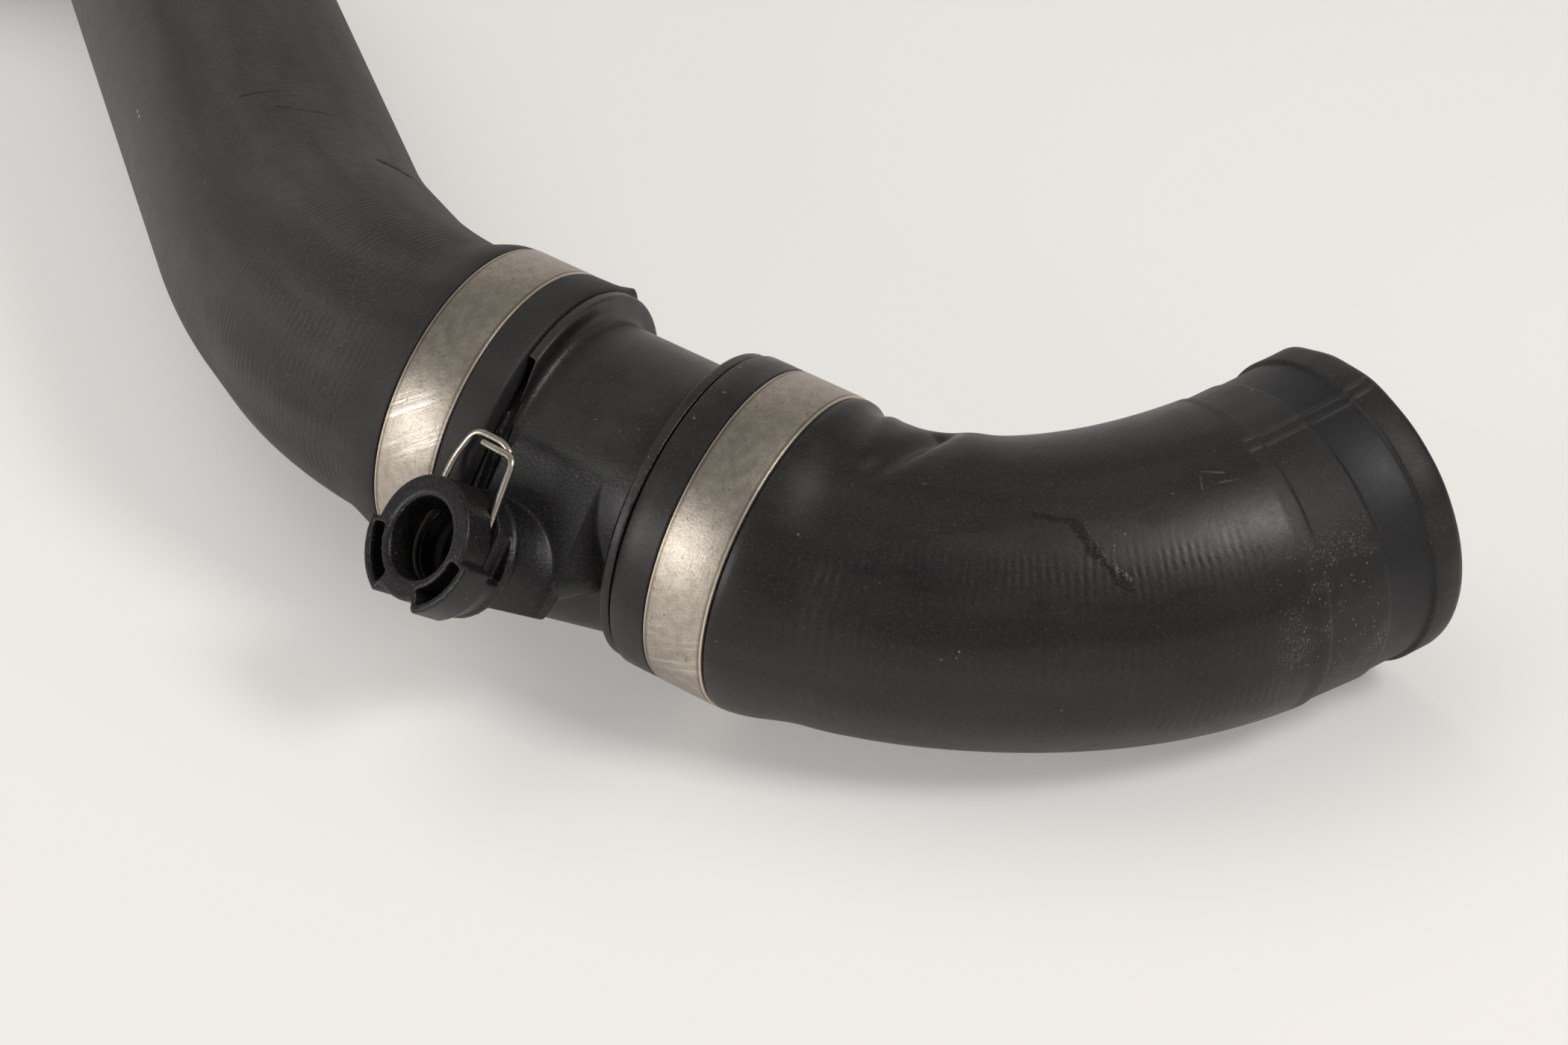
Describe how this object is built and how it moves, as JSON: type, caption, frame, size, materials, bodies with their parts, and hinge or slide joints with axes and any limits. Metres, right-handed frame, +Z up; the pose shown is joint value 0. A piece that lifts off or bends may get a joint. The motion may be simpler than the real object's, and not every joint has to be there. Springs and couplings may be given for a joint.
{
  "type": "radiator hose",
  "caption": "Moulded rubber radiator hose: two curved lengths crimped with steel bands on a plastic connector that has a slanted temperature sensor socket with a wire clip.",
  "frame": {"origin": "on the table under the middle of the bounding box of the hose set", "axes": "+Z up, +X towards the open end of the lower hose, +Y towards the open end of the upper hose"},
  "size_m": [0.3056, 0.3126, 0.06],
  "materials": {
    "hose_rubber": "matt black rubber with fine moulded ridges",
    "connector_nylon": "fine-grained black glass-filled nylon",
    "band_steel": "satin grey stainless steel with scratches",
    "clip_steel": "bright drawn spring wire, slightly brown"
  },
  "bodies": {
    "hose_set": {"upper_hose": "hose_rubber", "lower_hose": "hose_rubber", "connector": "connector_nylon", "upper_crimp_band": "band_steel", "lower_crimp_band": "band_steel"},
    "clip": {"sensor_clip": "clip_steel"}
  },
  "joints": [
    {"name": "clip_slide", "type": "slide", "parent": "hose_set", "child": "clip", "axis": [0.4121, 0.5126, 0.7533], "range_m": [0, 0.005]}
  ]
}
